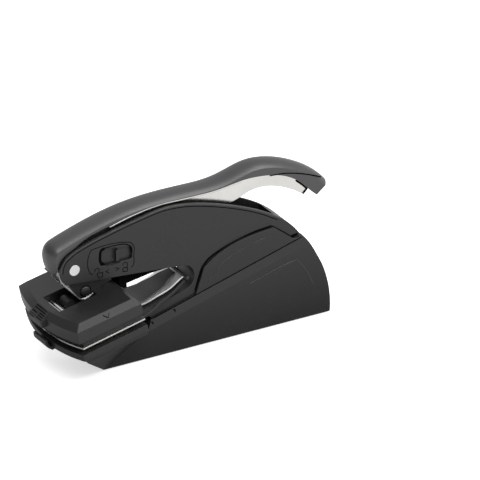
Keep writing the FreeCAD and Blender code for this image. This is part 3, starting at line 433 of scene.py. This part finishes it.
def bead(name, path, width, height, out, material, body):
    # A flat bead along a path: point = path + side * width/2 * cos t + out * height * sin t, thin at its ends
    path = np.asarray(path, float)
    run = directions(path)
    side = np.cross(np.asarray(out, float), run)
    side /= lengths(side)[:, None]
    up = np.cross(run, side)
    reach = reachAlong(path)
    thin = np.clip(np.minimum(reach, reach[-1] - reach) / (width / 2), beadEnd, 1) ** 0.5
    t = np.linspace(0, 2 * math.pi, beadSides + 1)[:-1]
    ring = (side[:, None, :] * np.cos(t)[None, :, None] * width / 2
            + up[:, None, :] * np.sin(t)[None, :, None] * height)
    points = path[:, None, :] + ring * thin[:, None, None]
    return makePiece(name, points, gridFaces(len(path), len(t)), material, body, sharp=85)


def plate(name, outline, low, high, material, body, bevel, place=level):
    # A side outline carried straight across from one y to another
    outline = np.asarray(outline, float)
    after = np.roll(outline, -1, axis=0)
    if np.sum(outline[:, 0] * after[:, 1] - after[:, 0] * outline[:, 1]) < 0:
        outline = outline[::-1]
    count = len(outline)
    points = place(np.concatenate([onSide(outline, low), onSide(outline, high)]))
    i = np.arange(count)
    k = (i + 1) % count
    sides = np.stack([i, i + count, k + count, k], axis=1).tolist()
    caps = [list(range(count)), list(range(count, 2 * count))[::-1]]
    return makePiece(name, points, sides + caps, material, body, bevel, sharp=25)


def pair(name, outline, low, high, material, body, bevel):
    # The same plate on the near and on the far side
    plate(name + "Near", outline, -high, -low, material, body, bevel)
    return plate(name + "Far", outline, low, high, material, body, bevel)


def strap(name, path, halves, thickness, material, body, bevel):
    # A flat bar: its top line runs along a side path, and its half width changes along it
    path = softPath(np.column_stack([path, halves]), 48)
    top, across = path[:, :2], np.outer(path[:, 2], (0, 1, 0))
    below = onSide(shiftedPath(top, thickness), 0)
    above = onSide(top, 0)
    corners = np.stack([above - across, below - across, below + across, above + across], axis=1)
    return makePiece(name, corners, gridFaces(len(top), 4), material, body, bevel)


def dome(name, x, y, z, radius, height, side, material, body, rings=9, around=32):
    # A turned rivet head: radius * sin t out from its axis, height * cos t along it, closed by its foot
    t = np.linspace(0.05, math.pi / 2, rings)[:, None]
    turn = np.linspace(0, 2 * math.pi, around + 1)[:-1][None, :] * side
    points = np.stack([x + radius * np.sin(t) * np.cos(turn), y + side * height * np.cos(t) + 0 * turn,
                       z + radius * np.sin(t) * np.sin(turn)], axis=-1)
    return makePiece(name, points, gridFaces(rings, around), material, body, sharp=60)


def cutter(low, high, place=level):
    # Closed box between two corners, for taking away
    corners = np.array(list(itertools.product(*zip(low, high))))
    faces = [(0, 1, 3, 2), (4, 6, 7, 5), (0, 4, 5, 1), (2, 3, 7, 6), (0, 2, 6, 4), (1, 5, 7, 3)]
    mesh = bpy.data.meshes.new("cutter")
    mesh.from_pydata(atPivot(place(corners)).tolist(), [], faces)
    tool = bpy.data.objects.new("cutter", mesh)
    bpy.context.scene.collection.objects.link(tool)
    return tool


def carve(node, cutters, bevel, merge=0.002, flat=0.8, sharp=25):
    # Copy of a CAD node, merged, with boxes taken away, its flats joined and its edges rounded
    mesh = frame["nodes"][node].data.copy()
    if mesh.attributes.get("custom_normal"):
        mesh.attributes.remove(mesh.attributes["custom_normal"])
    work = bmesh.new()
    work.from_mesh(mesh)
    bmesh.ops.remove_doubles(work, verts=work.verts, dist=merge * mm)
    work.to_mesh(mesh)
    piece = bpy.data.objects.new(node + "Dressed", mesh)
    bpy.context.scene.collection.objects.link(piece)
    for tool in cutters:
        change = piece.modifiers.new("cut", "BOOLEAN")
        change.operation = "DIFFERENCE"
        change.solver = "EXACT"
        change.object = tool
    graph = bpy.context.evaluated_depsgraph_get()
    made = bpy.data.meshes.new_from_object(piece.evaluated_get(graph))
    piece.modifiers.clear()
    work.clear()
    work.from_mesh(made)
    bmesh.ops.dissolve_limit(work, angle_limit=math.radians(flat), verts=work.verts, edges=work.edges)
    work.to_mesh(made)
    work.free()
    piece.data = made
    for tool in cutters:
        bpy.data.objects.remove(tool)
    made.shade_smooth()
    made.set_sharp_from_angle(angle=math.radians(sharp))
    made.materials.clear()
    made.materials.append(finishOf[node])
    if bevel:
        roundEdges(piece, bevel)
    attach(piece, bodyOf(node))
    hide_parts(node)
    return piece


# Lines, seams and marks of the housing: flat beads on its near faces, through points (back, up); those in the rim
# finish are painted highlights on edges and creases

nearFace = dict(cheek=-8.4, panel=-9.75, band=-9.35, wall=-10.5, bevel=-9.95)
nearOut = (0, -1, 0)
lineHeight = 0.05
lip = dict(points=[(-7.9, -1.0), (-7.6, 2.2), (-5.8, 5.9), (-1.5, 9.1), (8.9, 13.0), (19.2, 15.7), (35.2, 19.2),
                   (51.4, 21.6), (61.8, 21.0), (74.5, 18.2), (85.3, 14.9), (94.1, 11.7), (105, 6.9), (116, 0.6)],
           count=140, width=0.5, rimInset=0.35, rimHeight=0.08, stepInset=1.5)
lockLines = dict(
    lockPocket=dict(points=[(10.4, -4.9), (9.2, -4.3), (8.4, -3.0), (8.3, 6.4), (9.4, 8.4), (12.9, 9.1), (20, 9.4),
                            (28.3, 8.4), (31.6, 7.4), (33.4, 5.0), (33.4, 0.2), (33.2, -4.7), (32.6, -5.9),
                            (31.7, -6.2)], width=0.45, count=120),
    lockCrescent=dict(points=[(17.4, 7.9), (15.2, 7.2), (14.4, 3.8), (14.9, 0.4), (17.2, -1.3)], width=1.5),
    lockWindowTop=dict(points=[(16.3, 7.9), (23.2, 8.0), (30.0, 6.6), (32.1, 4.7), (32.4, 1.5)], width=0.6),
    lockWindowLow=dict(points=[(16.3, -1.3), (20.0, -1.9), (26.0, -1.7)], width=0.4),
    shutShackle=dict(points=[(11.6, -3.8), (11.6, -2.5), (12.8, -2.0), (13.8, -2.8), (13.7, -4.4)], width=0.4),
    shutBody=dict(points=[(12.6, -4.8), (15.8, -5.0), (15.7, -7.4), (13.4, -7.5), (12.6, -4.8)], width=0.45,
                  soft=False),
    shutArrow=dict(points=[(19.6, -4.3), (17.6, -5.1), (19.6, -6.3)], width=0.4, soft=False),
    openArrow=dict(points=[(22.6, -4.2), (25.1, -5.1), (23.1, -6.1)], width=0.4, soft=False),
    openShackle=dict(points=[(27.4, -4.4), (27.3, -3.1), (28.5, -2.6), (29.6, -3.4), (29.5, -5.4)], width=0.4),
    openBody=dict(points=[(27.2, -5.5), (29.7, -5.5), (29.8, -7.7), (27.2, -7.5), (27.2, -5.5)], width=0.45,
                  soft=False))
panelLines = dict(
    panelSeam=dict(points=[(68.0, -28.4), (70.2, -21.2), (72.2, -16.2), (76.0, -12.2), (81.5, -9.6),
                           (92.4, -6.2), (100.6, -4.3), (112.0, -3.2)], width=1.1, count=90),
    panelSlope=dict(points=[(112.0, -3.2), (117.6, -7.4), (122.9, -11.6)], width=0.5),
    panelStop=dict(points=[(122.6, -12.0), (127.0, -11.2)], width=1.7),
    shoulderSeam=dict(points=[(42.5, -37.2), (129.0, -12.9)], width=0.75, face="band", soft=False),
    # The next three lines are painted highlights along creases of the panel and the wall
    panelCreaseHighlight=dict(points=[(74.5, -24.5), (84, -15.2), (97, -10.4), (110, -7.4)], width=0.35, face="panel",
                     material=rim),
    facetHighlight=dict(points=[(97.8, -31.1), (115.7, -26.1), (125.1, -24.2)], width=0.35, face="wall", material=rim),
    facetTurnHighlight=dict(points=[(125.1, -24.2), (130.6, -31.5), (135.1, -41.1)], width=0.35, face="wall",
                   material=rim))
ticks = dict(places=[(55.4, -35.8), (42.8, -39.6)], hook=[(-0.7, 1.0), (0.3, 0.9), (0.4, -0.9)], width=0.55)
neckShade = dict(outline=[(26.8, -8.0), (26.8, -16.6), (28.8, -18.5), (31.4, -18.8), (31.2, -16.4), (44.6, -14.2),
                      (54.3, -13.6), (60.0, -11.0), (60.0, -6.0)], near=-5.0, far=4.6, bevel=0.2)


def drawLine(name, points, width, face="cheek", material=shadow, soft=True, count=60):
    trace = softPath(points, count) if soft else straightPath(points, count)
    bead(name, onSide(trace, nearFace[face]), width, lineHeight, nearOut, material, "housing")


def drawLip(s):
    # The lip follows the top of the cheek: a painted highlight along its rounded rim and a dark step below it
    top = softPath(s["points"], s["count"])
    for name, inset, height, material in (("lipHighlight", s["rimInset"], s["rimHeight"], rim),
                                          ("lipStep", s["stepInset"], lineHeight, shadow)):
        bead(name, onSide(shiftedPath(top, inset), nearFace["cheek"]), s["width"], height, nearOut, material,
             "housing")


def drawHousing():
    drawLip(lip)
    for name, s in (lockLines | panelLines).items():
        drawLine(name, **s)

    # Between the cheeks, over the neck, a plate in the shadow finish: painted shade over the black area there, a
    # guess at its outline
    plate("neckShadePlate", neckShade["outline"], neckShade["near"], neckShade["far"], shadow, "housing", neckShade["bevel"])
    for x, z in ticks["places"]:
        drawLine("tick%d" % x, [(x + back, z + up) for back, up in ticks["hook"]], ticks["width"], "bevel",
                 soft=False)


# Handle: the steel rim that shows under the cover, the crease of the grip and the gap at the channel's end

bothSides = ((-1, "Near"), (1, "Far"))
grip = dict(rim=[(21.0, 17.9), (33.8, 21.1), (50.2, 23.2), (60.7, 23.1), (71.4, 22.9), (79.7, 23.0), (87.8, 23.8),
                 (96.0, 24.9)], rimCount=90, rimIn=5.2, rimOut=6.45, rimDrop=0.75,
            crease=[(111.5, 23.7), (120.3, 22.9), (127.1, 21.3), (134.4, 18.8), (141.4, 15.8)], creaseCount=60,
            creaseFace=6.6, creaseWidth=0.7, creaseHeight=0.12,
            gap=[(127.6, 16.6), (131.0, 13.6), (133.9, 10.6), (131.4, 8.2)], gapFace=5.35, gapWidth=0.9,
            gapHeight=0.25)


def drawHandle(s):
    low = softPath(s["rim"], s["rimCount"])
    pair("coverRim", band(low, s["rimDrop"]), s["rimIn"], s["rimOut"], nickel, "lever", 0.0)
    crease = softPath(s["crease"], s["creaseCount"])
    gap = straightPath(s["gap"])
    for side, name in bothSides:
        out = (0, side, 0)
        bead("gripCrease" + name, onSide(crease, side * s["creaseFace"]), s["creaseWidth"], s["creaseHeight"], out,
             shadow, "lever")
        bead("channelGap" + name, onSide(gap, side * s["gapFace"]), s["gapWidth"], s["gapHeight"], out, shadow,
             "lever")


# Pressing foot: bent steel with a rounded toe that dips into the window, dark plates and a domed rivet

foot = dict(front=[(-7.0, -2.4), (-5.5, -7.0), (-0.7, -12.8), (3.4, -17.2), (4.8, -18.5), (6.6, -19.2),
                   (8.8, -18.9), (11.4, -17.7), (16.2, -15.1), (21.8, -12.2)], frontCount=60,
            back=[(20.6, -7.0), (6.0, 1.5), (-6.2, 1.5)], steelIn=3.75, steelOut=5.06, steelBevel=0.25,
            foldCount=34, foldSheet=0.9, foldDepth=3.4, foldBevel=0.15,
            edgeCount=46, edgeInset=0.35, edgeFace=5.2, edgeWidth=1.0, edgeHeight=0.4,
            plateFront=[(-4.4, -3.4), (-1.1, -10.0), (1.8, -14.4), (4.0, -16.9), (6.2, -17.8), (8.4, -17.3),
                        (12.0, -15.9)],
            plateBack=[(22.2, -11.6), (20.0, -7.6), (8.0, -5.6), (-4.2, -0.6)], plateOut=5.95, plateBevel=0.2,
            rivet=(7.4, -14.3), rivetRadius=2.7, rivetRise=1.0, ringGap=0.2, ringCount=49, ringWidth=0.5)


def drawFoot(s):
    front = softPath(s["front"], s["frontCount"])
    pair("footSteel", np.concatenate([front, s["back"]]), s["steelIn"], s["steelOut"], nickel, "lever",
         s["steelBevel"])
    pair("footFold", band(front[:s["foldCount"]], -s["foldSheet"]), s["steelOut"] - s["foldDepth"], s["steelOut"],
         nickel, "lever", s["foldBevel"])
    edge = shiftedPath(front, -s["edgeInset"])[:s["edgeCount"]]
    for side, name in bothSides:
        bead("footEdge" + name, onSide(edge, side * s["edgeFace"]), s["edgeWidth"], s["edgeHeight"], (0, side, 0),
             neckSteel, "lever")
    dark = np.concatenate([softPath(s["plateFront"]), s["plateBack"]])
    plates = pair("footPlate", dark, s["steelOut"], s["plateOut"], darkSteel, "lever", s["plateBevel"])
    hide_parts("foot_plates")
    x, z = s["rivet"]
    turn = np.linspace(0, 2 * math.pi, s["ringCount"])
    reach = s["rivetRadius"] + s["ringGap"]
    ring = np.stack([x + reach * np.cos(turn), z + reach * np.sin(turn)], axis=1)
    for side, name in bothSides:
        face = side * s["plateOut"]
        head = dome("footRivet" + name, x, face, z, s["rivetRadius"], s["rivetRise"], side, darkSteel, "lever")
        bead("rivetRing" + name, onSide(ring, face), s["ringWidth"], lineHeight, (0, side, 0), shadow, "lever")
    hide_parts("foot_rivet")


# Clip: CAD plates cut back to the photographed shape, with the low neck, ribbed tab, scoop and centre mark

beyond = 60
cuts = dict(plateEnd=36.75, tabHalf=9, tabEnd=-7.6, tabTopEnd=-5.5, tabTop=1.2, window=(1.9, 23.4),
            windowNear=10.1, windowFar=7.5, windowFloor=-2.9, scoopEnd=-5.45, scoopBack=-2.0, scoopTop=-3.7,
            bevel=0.3)
neckShape = dict(top=[(27.0, -26.4), (33.0, -27.0), (38.4, -26.6), (46.0, -24.2), (51.2, -22.4), (54.5, -20.4),
                      (59.6, -18.2)], topHalf=[8.6, 8.3, 8.0, 7.1, 6.2, 4.9, 3.0], topSheet=1.0, topBevel=0.2,
                 leaf=[(26.0, -27.4), (33.0, -27.9), (38.4, -27.6), (46.0, -25.3), (54.0, -22.3), (57.4, -20.0),
                       (60.6, -17.9)], leafHalf=[9.0] * 7, leafSheet=0.8, lowerShift=(0.4, -2.1),
                 lowerHalf=[17.0, 17.0, 15.0, 12.0, 10.5, 10.0, 9.6], lowerSheet=1.6, lowerBevel=0.3)
tab = dict(top=(-1.9, 2.8), lip=(-7.9, -1.1), floor=-4.6, half=6.3, bevel=0.5, ribWidth=0.55, ribHeight=0.1,
           ribShares=(0.14, 0.32, 0.5, 0.68, 0.86), wholeRibs=2, whole=[(-5.6, 5.6)],
           broken=[(-5.6, -0.6), (0.9, 5.6)], brokenDrop=0.5 / 5)
scoop = dict(curl=[(-8.3, 1.6), (-8.5, -0.6), (-7.8, -2.6), (-6.3, -4.2), (-4.1, -5.0)], count=30, sheet=1.5,
             bevel=0.35, root=[(-6.0, -5.0), (-2.0, -5.0), (-2.0, -2.2), (-5.0, -2.2)], rootBevel=0.3)
mark = dict(foot=30, run=3.4, rise=2.7, stroke=[(16.2, 0.68), (18.2, 0.12)], strokeWidth=0.6, strokeHeight=0.06,
            tail=[(18.3, 0.14), (19.9, 0.66)], tailWidth=0.3, tailHeight=0.05)
shortCount = 12


def cutClip(s):
    half = s["tabHalf"]
    behind = (s["plateEnd"], -beyond, -beyond), (beyond * 2, beyond, beyond)
    carve("upper_holder", [
        cutter(*behind, upperSlope),
        cutter((-beyond, -half, -beyond), (s["tabEnd"], half, beyond), upperSlope),
        cutter((-beyond, -half, s["tabTop"]), (s["tabTopEnd"], half, beyond), upperSlope),
        cutter((s["window"][0], -s["windowNear"], s["windowFloor"]), (s["window"][1], s["windowFar"], beyond),
               upperSlope)], s["bevel"])
    carve("lower_holder", [
        cutter(*behind, lowerSlope),
        cutter((-beyond, -beyond, -beyond), (s["scoopEnd"], beyond, beyond), lowerSlope),
        cutter((-beyond, -half, -beyond), (s["scoopBack"], half, s["scoopTop"]), lowerSlope)], s["bevel"])
    carve("clip_leaf", [cutter(*behind, lowerSlope)], 0.0)


def drawNeck(s):
    neck = strap("neckPlate", s["top"], s["topHalf"], s["topSheet"], holder, "upper_jaw", s["topBevel"])
    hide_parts("leaf_rivets")
    strap("neckLeaf", s["leaf"], s["leafHalf"], s["leafSheet"], neckSteel, "upper_jaw", 0.0)
    strap("lowerNeck", np.array(s["leaf"]) + s["lowerShift"], s["lowerHalf"], s["lowerSheet"], seat, "insert",
          s["lowerBevel"])


def drawTab(s):
    # A wedge over the front chamfer with dark lines across it, the lower ones broken in the middle
    top, front = np.array(s["top"]), np.array(s["lip"])
    plate("tabPad", [top, front, (front[0], s["floor"]), (top[0], s["floor"])], -s["half"], s["half"], holder,
          "upper_jaw", s["bevel"], upperSlope)
    fall = front - top
    out = upperSlope([(fall[1], 0, -fall[0])])[0] - upperSlope([(0, 0, 0)])[0]
    for i, share in enumerate(s["ribShares"]):
        for k, (low, high) in enumerate(s["whole"] if i < s["wholeRibs"] else s["broken"]):
            u, w = top + fall * share + fall * s["brokenDrop"] * k
            path = upperSlope(straightPath([(u, low, w), (u, high, w)], shortCount))
            bead("tabRib%d%d" % (i, k), path, s["ribWidth"], s["ribHeight"], out, shadow, "upper_jaw")


def drawScoop(s):
    # A curled finger lip under the front edge
    curl = softPath(s["curl"], s["count"])
    plate("scoop", band(curl, -s["sheet"]), -tab["half"], tab["half"], holder, "insert", s["bevel"], lowerSlope)
    plate("scoopRoot", s["root"], -tab["half"], tab["half"], holder, "insert", s["rootBevel"], lowerSlope)


def drawMark(s, side, name):
    # Centre mark on a chamfer, a deep stroke and a tail: (along, side * (foot - run * share), rise * share)
    def onChamfer(points):
        along, share = np.asarray(points, float).T
        return upperSlope(np.stack([along, side * (s["foot"] - s["run"] * share), s["rise"] * share], axis=1))
    out = upperSlope([(0, side * s["rise"], s["run"])])[0] - upperSlope([(0, 0, 0)])[0]
    for part in ("stroke", "tail"):
        path = straightPath(onChamfer(s[part]), shortCount)
        bead("mark" + part.capitalize() + name, path, s[part + "Width"], s[part + "Height"], out, shadow,
             "upper_jaw")


drawHousing()
drawHandle(grip)
drawFoot(foot)
cutClip(cuts)
drawNeck(neckShape)
drawTab(tab)
drawScoop(scoop)
for side, name in bothSides:
    drawMark(mark, side, name)
print("lines, foot and clip made")


# Floor and light

# The gloss values set the painted shade that the floor shows in reflections near the press
room = dict(floorHalf=6.0, floorTone=0.93, floorGlow=0.62, sky=0.74, frontSky=0.06, frontFrom=-0.85,
            frontTo=-0.1, target=(0, 0, 0.04), keyPower=26, keySize=1.4, key=(-0.9, -1.5, 2.2),
            fillPower=30, fillSize=1.5, fill=(0.99, -1.1, 1.63),
            shadedGlossNear=0.2, glossFar=1.0, glossReach=0.085, footprint=(0.086, 0.012, 0))


def makeFloor(s):
    half = s["floorHalf"]
    mesh = bpy.data.meshes.new("floor")
    mesh.from_pydata([(-half, -half, 0), (half, -half, 0), (half, half, 0), (-half, half, 0)], [], [(0, 1, 2, 3)])
    floor = bpy.data.objects.new("floor", mesh)
    bpy.context.scene.collection.objects.link(floor)
    material = bpy.data.materials.new("paleFloor")
    material.use_nodes = True
    tree = material.node_tree
    link = tree.links.new
    skin = tree.nodes["Principled BSDF"]
    skin.inputs["Base Color"].default_value = (s["floorTone"],) * 3 + (1,)
    skin.inputs["Roughness"].default_value = 0.9
    skin.inputs["Specular IOR Level"].default_value = 0
    ray = addNode(tree, "ShaderNodeLightPath")
    glow = addNode(tree, "ShaderNodeEmission")
    glow.inputs["Color"].default_value = (1, 1, 1, 1)
    link(mathNode(tree, "MULTIPLY", ray.outputs["Is Camera Ray"], s["floorGlow"]), glow.inputs["Strength"])
    both = addNode(tree, "ShaderNodeAddShader")
    link(skin.outputs["BSDF"], both.inputs[0])
    link(glow.outputs["Emission"], both.inputs[1])

    # In reflections the floor is white, and fades darker within a hand's width of the press: painted shade
    # standing in for the press's shadow on the floor
    place = addNode(tree, "ShaderNodeTexCoord")
    folded = addNode(tree, "ShaderNodeVectorMath", operation="ABSOLUTE")
    beyond = addNode(tree, "ShaderNodeVectorMath", operation="SUBTRACT")
    outside = addNode(tree, "ShaderNodeVectorMath", operation="MAXIMUM")
    away = addNode(tree, "ShaderNodeVectorMath", operation="LENGTH")
    beyond.inputs[1].default_value = s["footprint"]
    outside.inputs[1].default_value = (0, 0, 0)
    link(place.outputs["Object"], folded.inputs[0])
    link(folded.outputs[0], beyond.inputs[0])
    link(beyond.outputs[0], outside.inputs[0])
    link(outside.outputs[0], away.inputs[0])
    paintedShadeFade = addNode(tree, "ShaderNodeMapRange", interpolation_type="SMOOTHSTEP")
    paintedShadeFade.inputs["From Max"].default_value = s["glossReach"]
    paintedShadeFade.inputs["To Min"].default_value = s["shadedGlossNear"]
    paintedShadeFade.inputs["To Max"].default_value = s["glossFar"]
    link(away.outputs["Value"], paintedShadeFade.inputs["Value"])
    mirrorGlow = addNode(tree, "ShaderNodeEmission")
    link(paintedShadeFade.outputs["Result"], mirrorGlow.inputs["Strength"])
    choice = addNode(tree, "ShaderNodeMixShader")
    link(ray.outputs["Is Glossy Ray"], choice.inputs["Fac"])
    link(both.outputs[0], choice.inputs[1])
    link(mirrorGlow.outputs["Emission"], choice.inputs[2])
    link(choice.outputs[0], tree.nodes["Material Output"].inputs["Surface"])
    mesh.materials.append(material)


def makeSky(s):
    world = bpy.data.worlds.new("studio")
    world.use_nodes = True
    bpy.context.scene.world = world
    tree = world.node_tree
    link = tree.links.new
    ray = addNode(tree, "ShaderNodeLightPath")
    back = tree.nodes["Background"]
    back.inputs["Color"].default_value = (1, 1, 1, 1)
    seen = mathNode(tree, "MAXIMUM", ray.outputs["Is Camera Ray"], ray.outputs["Is Transmission Ray"])
    level = addNode(tree, "ShaderNodeMapRange")
    link(seen, level.inputs["Value"])
    place = addNode(tree, "ShaderNodeTexCoord")
    axes = addNode(tree, "ShaderNodeSeparateXYZ")
    dark = addNode(tree, "ShaderNodeMapRange")
    link(place.outputs["Generated"], axes.inputs["Vector"])
    link(axes.outputs["X"], dark.inputs["Value"])
    dark.inputs["From Min"].default_value = s["frontFrom"]
    dark.inputs["From Max"].default_value = s["frontTo"]
    dark.inputs["To Min"].default_value = s["frontSky"]
    dark.inputs["To Max"].default_value = s["sky"]
    link(dark.outputs["Result"], level.inputs["To Min"])
    level.inputs["To Max"].default_value = 1.0
    link(level.outputs["Result"], back.inputs["Strength"])


def makeLamp(name, power, size, place, target):
    data = bpy.data.lights.new(name, "AREA")
    data.energy = power
    data.size = size
    lamp = bpy.data.objects.new(name, data)
    lamp.location = place
    lamp.rotation_euler = (Vector(target) - Vector(place)).to_track_quat("-Z", "Y").to_euler()
    bpy.context.scene.collection.objects.link(lamp)


makeFloor(room)
makeSky(room)
makeLamp("keyLamp", room["keyPower"], room["keySize"], room["key"], room["target"])
makeLamp("fillLamp", room["fillPower"], room["fillSize"], room["fill"], room["target"])
bpy.context.scene.view_settings.view_transform = "Standard"
print("floor and light made")
